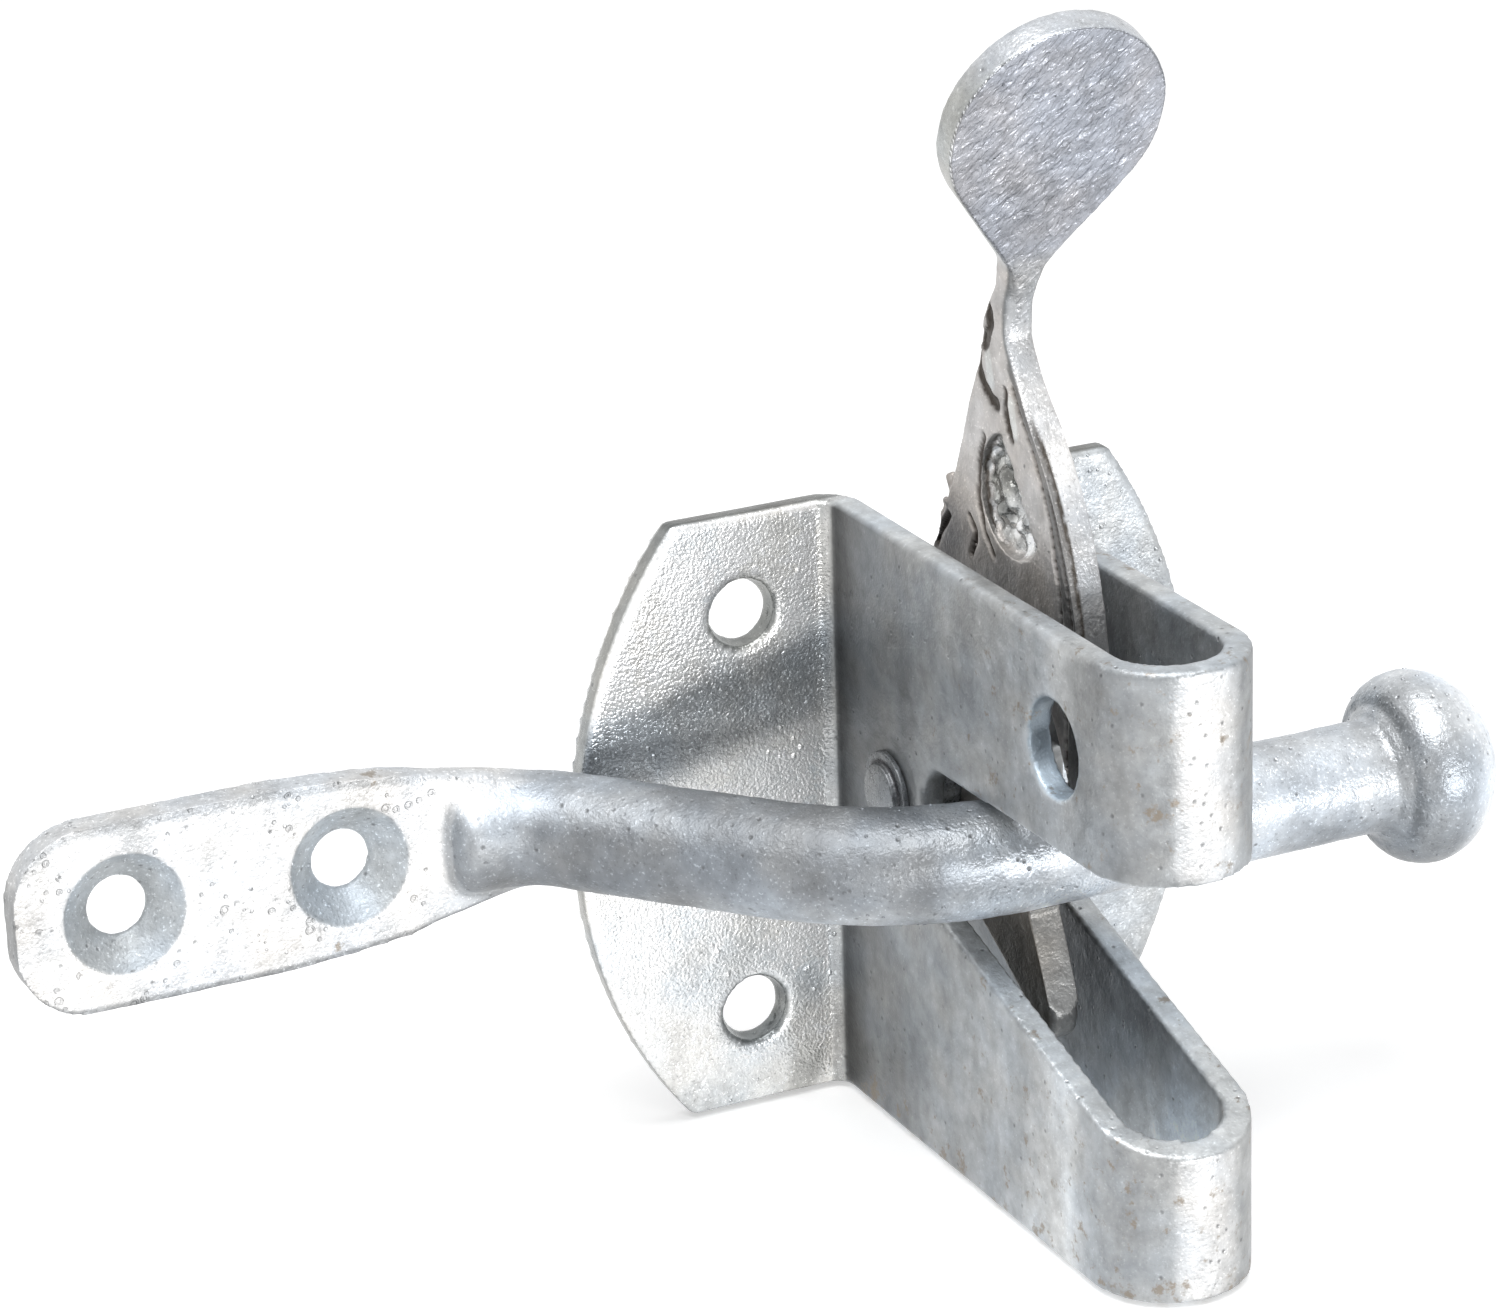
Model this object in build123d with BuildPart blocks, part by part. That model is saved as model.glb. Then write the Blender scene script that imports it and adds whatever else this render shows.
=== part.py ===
from build123d import *
import os
from math import atan2, cos, degrees, hypot, radians, sin, tan

# Self-locking gate latch, in millimetres.
# The origin is the middle of the plate's back face: +X runs along the gate,
# -Y comes out of the gate and +Z is up. "Depth" is measured forward from the
# plate's back face, "height" from the middle of the strap.

# Strap that the body is folded from
strap_height = 70.0
strap_thickness = 3.2
wall_gap = 11.5
fold_radius = 1.6
nose_depth = 69.3

# Screw flanges: each outer edge is one arc between two cropped corners
left_flange_reach = 40.2
left_corner_reach = 27.7
right_flange_reach = 37.0
right_corner_reach = 26.2
screw_hole_diameter = 8.0
screw_hole_spread = 39.2
screw_hole_rise = 47.2

# Mouth cut through both walls, open at the nose
mouth_root_depth = 23.5
mouth_top_height = 11.1
mouth_lip_height = 11.9
jaw_root_height = -4.6
jaw_slope = 16.6
mouth_root_radius = 4.5

# Padlock hole through both walls
padlock_hole_diameter = 10.4
padlock_depth = 52.7
padlock_height = 22.6

# Pivot rivet
pivot_depth = 16.2
pivot_height = 5.0
rivet_diameter = 6.0
rivet_seat_clearance = 0.03
rivet_collar_diameter = 9.6
rivet_collar_height = 0.7
rivet_button_diameter = 7.0
rivet_button_height = 0.7
rivet_dome_height = 0.3

# Striker bar
bar_diameter = 13.0
bar_depth = 36.6
bar_height = 4.3
crank_angle = 45.5
crank_top = -17.6
palm_bend_radius = 10.0
bar_bend_radius = 36.0
palm_end = -105.7
palm_height = 21.2
palm_thickness = 4.0
palm_back_depth = 4.0
palm_rise = 1.4
palm_corner_radius = 8.5
palm_taper_start = -80.2
round_start = -57.4
stub_end_radius = 2.6
palm_hole_diameter = 6.0
countersink_diameter = 13.4
countersink_angle = 100.0
palm_hole_end_distance = 12.2
palm_hole_spacing = 25.0
ball_shoulder = 40.4
ball_centre = 45.0
ball_end = 53.6
ball_diameter = 22.0
ball_neck_radius = 1.0

# Thumb lever: places are forward of and above the pivot, with the lever open
lever_thickness = 4.0
lever_bore_clearance = 0.06
lock_angle = 41.4
throat_clearance = 1.5
shackle_hole_diameter = 13.4
hub_radius = 9.5
heel_forward = -2.4
heel_rise = 26.5
waist_forward = 4.5
waist_rise = 40.0
neck_forward = 12.1
neck_rise = 55.2
neck_width = 5.5
brow_forward = 24.1
brow_rise = 40.4
shoulder_forward = 29.1
shoulder_rise = 28.0
claw_forward = 30.6
claw_rise = 10.0
claw_bevel = 2.6
finger_forward = 18.6
finger_rise = -9.0
fingertip_forward = 23.1
fingertip_rise = -19.0
fingertip_width = 6.5
fingertip_round = 4.2
fingertip_edge_radius = 1.3
paddle_lean = 22.7
neck_length = 8.0
neck_blade_facet = 0.4
neck_waist_width = 3.6
neck_waist_depth = 3.9
neck_waist_facet = 1.5
paddle_neck_width = 4.9
paddle_neck_facet = 0.6
paddle_reach = 25.6
paddle_diameter = 24.8

# Sizes that follow from those above
outer_width = wall_gap + 2 * strap_thickness
bar_radius = bar_diameter / 2
over_all = 2 * (nose_depth + left_flange_reach)

# Looking at the left side, x is depth and y is height
side_view = Plane(origin=(0, 0, 0), x_dir=(0, -1, 0), z_dir=(-1, 0, 0))

# Looking up from below, x is X and y is depth
plan_top = Plane(origin=(0, 0, strap_height / 2), x_dir=(1, 0, 0), z_dir=(0, 0, -1))

# Looking at the front, x is X and y is height, and extrusions come forward
front_view = Plane(origin=(0, 0, 0), x_dir=(1, 0, 0), z_dir=(0, -1, 0))

# Latch body: the folded strap
wall_inside = wall_gap / 2
back_radius = fold_radius + strap_thickness
nose_centre = nose_depth - outer_width / 2
half_height = strap_height / 2
mouth_front = nose_depth + strap_thickness
jaw_front_height = jaw_root_height - (mouth_front - mouth_root_depth) * tan(radians(jaw_slope))

with BuildPart() as latch_body:
    with BuildSketch(plan_top):
        with BuildLine():
            left_flange = Line((-left_flange_reach, 0), (-wall_inside - back_radius, 0))
            left_fold = TangentArc(left_flange @ 1, (-wall_inside, back_radius), tangent=left_flange % 1)
            left_wall = Line(left_fold @ 1, (-wall_inside, nose_centre))
            nose = TangentArc(left_wall @ 1, (wall_inside, nose_centre), tangent=left_wall % 1)
            right_wall = Line(nose @ 1, (wall_inside, back_radius))
            right_fold = TangentArc(right_wall @ 1, (wall_inside + back_radius, 0), tangent=right_wall % 1)
            Line(right_fold @ 1, (right_flange_reach, 0))
            offset(amount=strap_thickness, side=Side.LEFT)
        make_face()
    extrude(amount=strap_height)

    with BuildSketch(front_view):
        with BuildLine():
            top_edge = Line((-left_corner_reach, half_height), (right_corner_reach, half_height))
            right_edge = ThreePointArc(
                top_edge @ 1, (right_flange_reach, 0), (right_corner_reach, -half_height)
            )
            bottom_edge = Line(right_edge @ 1, (-left_corner_reach, -half_height))
            ThreePointArc(bottom_edge @ 1, (-left_flange_reach, 0), top_edge @ 0)
        make_face()
    extrude(amount=over_all, mode=Mode.INTERSECT)

    with BuildSketch(front_view):
        with GridLocations(screw_hole_spread, screw_hole_rise, 2, 2):
            Circle(screw_hole_diameter / 2)
    extrude(amount=strap_thickness, mode=Mode.SUBTRACT)

    with BuildSketch(side_view) as mouth:
        with BuildLine():
            Polyline(
                (mouth_root_depth, mouth_top_height),
                (mouth_front, mouth_lip_height),
                (mouth_front, jaw_front_height),
                (mouth_root_depth, jaw_root_height),
                close=True,
            )
        make_face()
        fillet(mouth.vertices().group_by(Axis.X)[0], mouth_root_radius)
    extrude(amount=outer_width, both=True, mode=Mode.SUBTRACT)

    with BuildSketch(side_view):
        with Locations((padlock_depth, padlock_height)):
            Circle(padlock_hole_diameter / 2)
        with Locations((pivot_depth, pivot_height)):
            Circle(rivet_diameter / 2 + rivet_seat_clearance)
    extrude(amount=outer_width, both=True, mode=Mode.SUBTRACT)

latch_body.part.label = "latch_body"

# Pivot rivet: a plain shank with a collared dome closed on each wall
pivot_axis = Axis((0, -pivot_depth, pivot_height), (1, 0, 0))
rivet_plane = Plane(origin=(0, -pivot_depth, pivot_height), x_dir=(1, 0, 0), z_dir=(0, 0, 1))
head_seat = outer_width / 2
collar_top = head_seat + rivet_collar_height
button_top = collar_top + rivet_button_height
button_radius = rivet_button_diameter / 2
dome_radius = (button_radius**2 + rivet_dome_height**2) / (2 * rivet_dome_height)

with BuildPart() as pivot_rivet:
    with BuildSketch(rivet_plane):
        with BuildLine():
            shank = Polyline(
                (0, 0),
                (0, rivet_diameter / 2),
                (head_seat, rivet_diameter / 2),
                (head_seat, rivet_collar_diameter / 2),
                (collar_top, rivet_collar_diameter / 2),
                (collar_top, button_radius),
                (button_top, button_radius),
            )
            dome = RadiusArc(shank @ 1, (button_top + rivet_dome_height, 0), dome_radius)
            Line(dome @ 1, (0, 0))
        make_face()
    revolve(axis=pivot_axis)
    mirror(about=Plane.YZ)

pivot_rivet.part.label = "pivot_rivet"

# Thumb lever: a flat claw plate, a neck forged from edge-on to face-on and a round paddle
lever_plane = Plane(
    origin=(lever_thickness / 2, -pivot_depth, pivot_height), x_dir=(0, -1, 0), z_dir=(-1, 0, 0)
)
bar_forward = bar_depth - pivot_depth
bar_rise = bar_height - pivot_height
bar_swing = hypot(bar_forward, bar_rise)
bar_bearing = degrees(atan2(bar_rise, bar_forward))
throat_half = bar_radius + throat_clearance
claw_lip = bar_rise + throat_half
padlock_forward = padlock_depth - pivot_depth
padlock_rise = padlock_height - pivot_height
shackle_swing = hypot(padlock_forward, padlock_rise)
shackle_bearing = degrees(atan2(padlock_rise, padlock_forward)) + lock_angle
lean_forward = sin(radians(paddle_lean))
lean_up = cos(radians(paddle_lean))
neck_back = (neck_forward - neck_width / 2 * lean_up, neck_rise + neck_width / 2 * lean_forward)
neck_front = (neck_forward + neck_width / 2 * lean_up, neck_rise - neck_width / 2 * lean_forward)


def along_neck(distance):
    """The point on the neck's middle line this far above the blade, in the model's frame."""
    depth = pivot_depth + neck_forward + distance * lean_forward
    return (0, -depth, pivot_height + neck_rise + distance * lean_up)


neck_up = (0, -lean_forward, lean_up)
fingertip_depth = pivot_depth + fingertip_forward - fingertip_width / 2
fingertip_end = (0, -fingertip_depth, pivot_height + fingertip_rise - fingertip_round)

with BuildPart() as thumb_lever:
    with BuildSketch(lever_plane):
        with BuildLine():
            back_edge = Spline(neck_back, (waist_forward, waist_rise), (heel_forward, heel_rise))
            hub_back = Line(back_edge @ 1, (-hub_radius, 0))
            hub = RadiusArc(hub_back @ 1, (0, -hub_radius), -hub_radius)
            finger_back = Line(hub @ 1, (fingertip_forward - fingertip_width, fingertip_rise))
            fingertip = ThreePointArc(
                finger_back @ 1,
                (fingertip_forward - fingertip_width / 2, fingertip_rise - fingertip_round),
                (fingertip_forward, fingertip_rise),
            )
            finger_front = Line(fingertip @ 1, (finger_forward, finger_rise))
            across_throat = Line(finger_front @ 1, (claw_forward - claw_bevel, claw_lip))
            claw_tip = Line(across_throat @ 1, (claw_forward, claw_rise))
            Spline(
                claw_tip @ 1,
                (shoulder_forward, shoulder_rise),
                (brow_forward, brow_rise),
                neck_front,
                tangents=[(0, 1), (-lean_up / 2, lean_up)],
            )
            Line(neck_front, neck_back)
        make_face()
        Circle(rivet_diameter / 2 + lever_bore_clearance, mode=Mode.SUBTRACT)
        with PolarLocations(shackle_swing, 1, start_angle=shackle_bearing):
            Circle(shackle_hole_diameter / 2, mode=Mode.SUBTRACT)
    extrude(amount=lever_thickness)
    fillet(thumb_lever.edges().sort_by_distance(fingertip_end)[:2], fingertip_edge_radius)

    with BuildSketch(lever_plane):
        with BuildLine():
            outer_sweep = CenterArc((0, 0), bar_swing + throat_half, bar_bearing, lock_angle)
            inner_sweep = CenterArc((0, 0), bar_swing - throat_half, bar_bearing, lock_angle)
            TangentArc(outer_sweep @ 1, inner_sweep @ 1, tangent=outer_sweep % 1)
            TangentArc(inner_sweep @ 0, outer_sweep @ 0, tangent=-(inner_sweep % 0))
        make_face()
    extrude(amount=lever_thickness, mode=Mode.SUBTRACT)

    for distance, width, depth, facet in (
        (0, lever_thickness, neck_width, neck_blade_facet),
        (neck_length / 2, neck_waist_width, neck_waist_depth, neck_waist_facet),
        (neck_length, paddle_neck_width, lever_thickness, paddle_neck_facet),
    ):
        with BuildSketch(Plane(origin=along_neck(distance), x_dir=(1, 0, 0), z_dir=neck_up)):
            Polygon(
                (facet - width / 2, -depth / 2),
                (width / 2, -depth / 2),
                (width / 2, depth / 2),
                (-width / 2, depth / 2),
                (-width / 2, facet - depth / 2),
                align=None,
            )
    loft(ruled=True)

    paddle_plane = Plane(
        origin=along_neck(neck_length), x_dir=(1, 0, 0), z_dir=(0, -lean_up, -lean_forward)
    )
    with BuildSketch(paddle_plane):
        with BuildLine():
            Line((-paddle_neck_width / 2, 0), (paddle_neck_width / 2, 0))
        with Locations((0, paddle_reach - neck_length)):
            Circle(paddle_diameter / 2)
        make_hull()
    extrude(amount=lever_thickness / 2, both=True)

thumb_lever.part.label = "thumb_lever"

# Striker bar: a round bar with a ball end, cranked forward from a flattened palm
palm_middle = palm_back_depth + palm_thickness / 2
crank_reach = hypot(bar_depth - palm_middle, palm_rise)
crank_foot = crank_top - crank_reach / tan(radians(crank_angle))
crank_plane = Plane(
    origin=(0, -palm_middle, bar_height + palm_rise),
    x_dir=(1, 0, 0),
    z_dir=(0, palm_rise, palm_middle - bar_depth),
)
palm_view = Plane(origin=(0, -palm_back_depth, bar_height + palm_rise), x_dir=(1, 0, 0), z_dir=(0, -1, 0))
ball_view = Plane(origin=(0, -bar_depth, bar_height), x_dir=(1, 0, 0), z_dir=(0, 0, 1))
bar_axis = Axis((0, -bar_depth, bar_height), (1, 0, 0))
half_palm = palm_height / 2
ball_radius = ball_diameter / 2
neck_top = bar_radius + ball_neck_radius

with BuildPart() as striker_bar:
    with BuildLine(crank_plane):
        FilletPolyline(
            (round_start, 0),
            (crank_foot, 0),
            (crank_top, crank_reach),
            (ball_centre, crank_reach),
            radius=[palm_bend_radius, bar_bend_radius],
        )
    with BuildSketch(Plane(origin=(round_start, -palm_middle, bar_height + palm_rise), z_dir=(1, 0, 0))):
        Circle(bar_radius)
    sweep()
    fillet(striker_bar.edges().filter_by(GeomType.CIRCLE).group_by(Axis.X)[0], stub_end_radius)
    split(bisect_by=palm_view, keep=Keep.TOP)

    with BuildSketch(palm_view) as palm:
        with BuildLine():
            palm_top = Line((palm_end, half_palm), (palm_taper_start, half_palm))
            upper_taper = TangentArc(palm_top @ 1, (crank_foot, bar_radius), tangent=palm_top % 1)
            palm_root = Line(upper_taper @ 1, (crank_foot, -bar_radius))
            palm_bottom = Line((palm_taper_start, -half_palm), (palm_end, -half_palm))
            TangentArc(palm_bottom @ 0, palm_root @ 1, tangent=(1, 0))
            Line(palm_bottom @ 1, palm_top @ 0)
        make_face()
        fillet(palm.vertices().group_by(Axis.X)[0], palm_corner_radius)
    extrude(amount=palm_thickness)

    with Locations(palm_view.offset(palm_thickness)):
        with Locations(
            (palm_end + palm_hole_end_distance, 0),
            (palm_end + palm_hole_end_distance + palm_hole_spacing, 0),
        ):
            CounterSinkHole(
                radius=palm_hole_diameter / 2,
                counter_sink_radius=countersink_diameter / 2,
                counter_sink_angle=countersink_angle,
                depth=palm_thickness,
            )

    with BuildSketch(ball_view):
        with BuildLine():
            neck = RadiusArc(
                (ball_shoulder - ball_neck_radius, bar_radius),
                (ball_shoulder, neck_top),
                ball_neck_radius,
            )
            EllipticalCenterArc(
                (ball_centre, neck_top),
                ball_centre - ball_shoulder,
                ball_radius - neck_top,
                start_angle=90,
                arc_size=90,
            )
            EllipticalCenterArc(
                (ball_centre, 0), ball_end - ball_centre, ball_radius, start_angle=0, arc_size=90
            )
            Polyline((ball_end, 0), (ball_shoulder - ball_neck_radius, 0), neck @ 0)
        make_face()
    revolve(axis=bar_axis)

striker_bar.part.label = "striker_bar"

os.makedirs("parts", exist_ok=True)
export_step(latch_body.part, "parts/latch_body.step")
export_step(pivot_rivet.part, "parts/pivot_rivet.step")
export_step(thumb_lever.part, "parts/thumb_lever.step")
export_step(striker_bar.part, "parts/striker_bar.step")
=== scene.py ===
import math

import bmesh
import bpy
import numpy as np
from mathutils import Matrix, Vector


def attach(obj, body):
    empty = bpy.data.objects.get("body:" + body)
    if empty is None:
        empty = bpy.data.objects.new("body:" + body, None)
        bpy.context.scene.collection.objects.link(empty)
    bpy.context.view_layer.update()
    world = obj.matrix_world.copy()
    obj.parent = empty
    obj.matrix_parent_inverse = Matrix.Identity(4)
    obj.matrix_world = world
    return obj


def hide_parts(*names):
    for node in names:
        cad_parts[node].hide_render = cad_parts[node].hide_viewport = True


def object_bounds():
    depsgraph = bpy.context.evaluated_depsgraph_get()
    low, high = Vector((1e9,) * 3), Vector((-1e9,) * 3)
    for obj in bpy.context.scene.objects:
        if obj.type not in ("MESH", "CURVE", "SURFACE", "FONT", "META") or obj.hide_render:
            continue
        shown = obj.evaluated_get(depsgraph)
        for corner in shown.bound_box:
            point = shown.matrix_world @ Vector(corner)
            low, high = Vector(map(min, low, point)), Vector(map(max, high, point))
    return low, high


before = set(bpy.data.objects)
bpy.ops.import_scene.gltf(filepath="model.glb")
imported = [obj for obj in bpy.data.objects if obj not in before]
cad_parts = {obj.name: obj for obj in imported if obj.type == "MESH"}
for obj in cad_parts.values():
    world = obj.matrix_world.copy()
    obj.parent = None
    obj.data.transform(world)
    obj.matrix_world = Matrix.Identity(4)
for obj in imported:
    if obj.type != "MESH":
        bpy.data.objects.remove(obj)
cad_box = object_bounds()

# Latch body
# One strip of 3.2 mm steel, punched, folded round into a U and dipped in molten zinc.
# The bath rounds its edges; the flanges come out bright and grainy, the walls dull and smooth.
pivot_depth, pivot_height = 16.2, 5.0
padlock_depth, padlock_height = 52.7, 22.6
screw_across, screw_up = 19.6, 23.6
paddle_facing = (0.0, -0.9225, -0.3859)


def add(tree, kind, inputs=None, **settings):
    """A new node in a shader or geometry tree, with its settings made and its inputs set or linked."""
    node = tree.nodes.new(kind)
    for key, value in settings.items():
        setattr(node, key, value)
    for key, value in (inputs or {}).items():
        if isinstance(value, bpy.types.NodeSocket):
            tree.links.new(value, node.inputs[key])
        else:
            node.inputs[key].default_value = value
    return node


def maths(tree, operation, first, second=0.0, third=0.0, clamp=False):
    """The result of one sum on two or three numbers or sockets."""
    node = add(tree, "ShaderNodeMath", {0: first, 1: second, 2: third}, operation=operation, use_clamp=clamp)
    return node.outputs[0]


def vectors(tree, operation, first, second):
    """The result of one sum on two vectors or sockets."""
    return add(tree, "ShaderNodeVectorMath", {0: first, 1: second}, operation=operation).outputs[0]


def scaled(tree, vector, share):
    """A vector made longer or shorter."""
    return add(tree, "ShaderNodeVectorMath", {0: vector, "Scale": share}, operation="SCALE").outputs[0]


def ramp(tree, value, low, high, to_low=0.0, to_high=1.0):
    """A value spread from one span to another and held at its ends."""
    spans = {"Value": value, "From Min": low, "From Max": high, "To Min": to_low, "To Max": to_high}
    return add(tree, "ShaderNodeMapRange", spans).outputs[0]


def noise(tree, place, scale, detail, **more):
    """The strength of a random pattern at each place."""
    given = {"Vector": place, "Scale": scale, "Detail": detail, **more}
    return add(tree, "ShaderNodeTexNoise", given).outputs["Fac"]


def mixed(tree, factor, under, over):
    """One colour laid over another by a factor."""
    return add(tree, "ShaderNodeMix", {"Factor": factor, 6: under, 7: over}, data_type="RGBA").outputs[2]


def zinc_skin_tree():
    """Geometry nodes that hammer a face, lay an uneven zinc coat over a mesh and scatter beads of zinc on it."""
    tree = bpy.data.node_groups.new("zinc_skin", "GeometryNodeTree")
    tree.interface.new_socket("Geometry", in_out="INPUT", socket_type="NodeSocketGeometry")
    for name in ("Lump Size", "Lump Height", "Grain Size", "Grain Height", "Bead Radius", "Bead Density", "Bead Front",
                 "Seed", "Hammer Depth", "Hammer Length", "Hammer Width", "Hammer Turn", "Hammer From"):
        tree.interface.new_socket(name, in_out="INPUT", socket_type="NodeSocketFloat")
    tree.interface.new_socket("Hammer Facing", in_out="INPUT", socket_type="NodeSocketVector")
    tree.interface.new_socket("Zinc", in_out="INPUT", socket_type="NodeSocketMaterial")
    tree.interface.new_socket("Geometry", in_out="OUTPUT", socket_type="NodeSocketGeometry")
    given = add(tree, "NodeGroupInput").outputs
    place = add(tree, "GeometryNodeInputPosition").outputs[0]
    outward = add(tree, "GeometryNodeInputNormal").outputs[0]
    height = 0.0
    for layer in ("Lump", "Grain"):
        pitch = maths(tree, "DIVIDE", 1.0, given[layer + " Size"])
        rough = add(tree, "ShaderNodeTexNoise", {"Vector": place, "W": given["Seed"], "Scale": pitch, "Detail": 2.0},
                    noise_dimensions="4D")
        sunk = maths(tree, "SUBTRACT", rough.outputs["Fac"], 1.0)
        height = maths(tree, "MULTIPLY_ADD", sunk, given[layer + " Height"], height)
    turned = add(tree, "ShaderNodeVectorRotate",
                 {"Vector": place, "Axis": given["Hammer Facing"], "Angle": given["Hammer Turn"]}).outputs[0]
    blow = add(tree, "ShaderNodeCombineXYZ", {0: maths(tree, "DIVIDE", 1.0, given["Hammer Length"]),
                                              2: maths(tree, "DIVIDE", 1.0, given["Hammer Width"])}).outputs[0]
    drawn = vectors(tree, "MULTIPLY", turned, blow)
    marks = noise(tree, drawn, 1.0, 2.0, Roughness=0.6)
    facing = add(tree, "ShaderNodeVectorMath", {0: outward, 1: given["Hammer Facing"]},
                 operation="DOT_PRODUCT").outputs["Value"]
    on_face = ramp(tree, facing, 0.7, 0.95)
    up_there = maths(tree, "SUBTRACT", add(tree, "ShaderNodeSeparateXYZ", {0: place}).outputs[2], given["Hammer From"])
    on_end = ramp(tree, up_there, 0.0, 0.006)
    struck = maths(tree, "MULTIPLY", maths(tree, "MULTIPLY", on_face, on_end), given["Hammer Depth"])
    height = maths(tree, "MULTIPLY_ADD", maths(tree, "SUBTRACT", marks, 0.8), struck, height)
    shift = scaled(tree, outward, height)
    coat = add(tree, "GeometryNodeSetPosition", {"Geometry": given["Geometry"], "Offset": shift}).outputs[0]
    drift = add(tree, "ShaderNodeTexNoise", {"Vector": place, "W": given["Seed"], "Scale": 85.0, "Detail": 1.0},
                noise_dimensions="4D").outputs["Fac"]
    crowd = ramp(tree, drift, 0.5, 0.62)
    forward = ramp(tree, add(tree, "ShaderNodeSeparateXYZ", {0: outward}).outputs[1], -0.5, -0.9)
    by_plate = ramp(tree, add(tree, "ShaderNodeSeparateXYZ", {0: place}).outputs[1], -0.006, -0.004)
    elsewhere = maths(tree, "SUBTRACT", 1.0, maths(tree, "MULTIPLY", forward, by_plate))
    allowed = maths(tree, "SUBTRACT", 1.0, maths(tree, "MULTIPLY", elsewhere, given["Bead Front"]))
    thick = maths(tree, "MULTIPLY", maths(tree, "MULTIPLY", crowd, allowed), given["Bead Density"])
    scatter = add(tree, "GeometryNodeDistributePointsOnFaces", {"Mesh": coat, "Density": thick})
    bead = add(tree, "GeometryNodeMeshIcoSphere", {"Radius": given["Bead Radius"], "Subdivisions": 1}).outputs[0]
    spread = add(tree, "FunctionNodeRandomValue", {2: 0.35, 3: 1.0}, data_type="FLOAT").outputs[1]
    flat = add(tree, "ShaderNodeCombineXYZ", {0: 1.0, 1: 1.0, 2: 0.55}).outputs[0]
    scale = scaled(tree, flat, spread)
    beads = add(tree, "GeometryNodeInstanceOnPoints",
                {"Points": scatter.outputs["Points"], "Instance": bead, "Rotation": scatter.outputs["Rotation"],
                 "Scale": scale}).outputs[0]
    both = add(tree, "GeometryNodeJoinGeometry")
    tree.links.new(coat, both.inputs[0])
    tree.links.new(beads, both.inputs[0])
    whole = add(tree, "GeometryNodeRealizeInstances", {"Geometry": both.outputs[0]}).outputs[0]
    smooth = add(tree, "GeometryNodeSetShadeSmooth", {"Geometry": whole}).outputs[0]
    done = add(tree, "GeometryNodeSetMaterial", {"Geometry": smooth, "Material": given["Zinc"]}).outputs[0]
    add(tree, "NodeGroupOutput", {0: done})
    return tree


def dipped(node, piece, voxel, soften, finish, lumps=(), **coat):
    """A CAD piece as it leaves the bath: lumps of zinc merged into it, edges softened, coated and beaded."""
    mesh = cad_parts[node].data.copy()
    work = bmesh.new()
    work.from_mesh(mesh)
    bmesh.ops.remove_doubles(work, verts=work.verts, dist=1e-6)
    for x, depth, z, radius in lumps:
        bmesh.ops.create_icosphere(work, subdivisions=2, radius=radius / 1000,
                                   matrix=Matrix.Translation((x / 1000, -depth / 1000, z / 1000)))
    work.to_mesh(mesh)
    work.free()
    steel = bpy.data.objects.new(piece, mesh)
    bpy.context.scene.collection.objects.link(steel)
    even = steel.modifiers.new("even_mesh", "REMESH")
    even.mode = "VOXEL"
    even.voxel_size = voxel
    soft = steel.modifiers.new("soft_edges", "SMOOTH")
    soft.factor = 0.5
    soft.iterations = soften
    skin = steel.modifiers.new("zinc_skin", "NODES")
    skin.node_group = zinc_skin
    values = {"Hammer Depth": 0.0, "Hammer Length": 1.0, "Hammer Width": 1.0, "Hammer Facing": (0.0, -1.0, 0.0)}
    values.update(coat, Zinc=finish)
    for item in zinc_skin.interface.items_tree:
        if item.in_out == "INPUT" and item.name in values:
            skin[item.identifier] = values[item.name]
    made = bpy.data.meshes.new_from_object(steel.evaluated_get(bpy.context.evaluated_depsgraph_get()))
    steel.modifiers.clear()
    steel.data = made
    return steel


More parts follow.
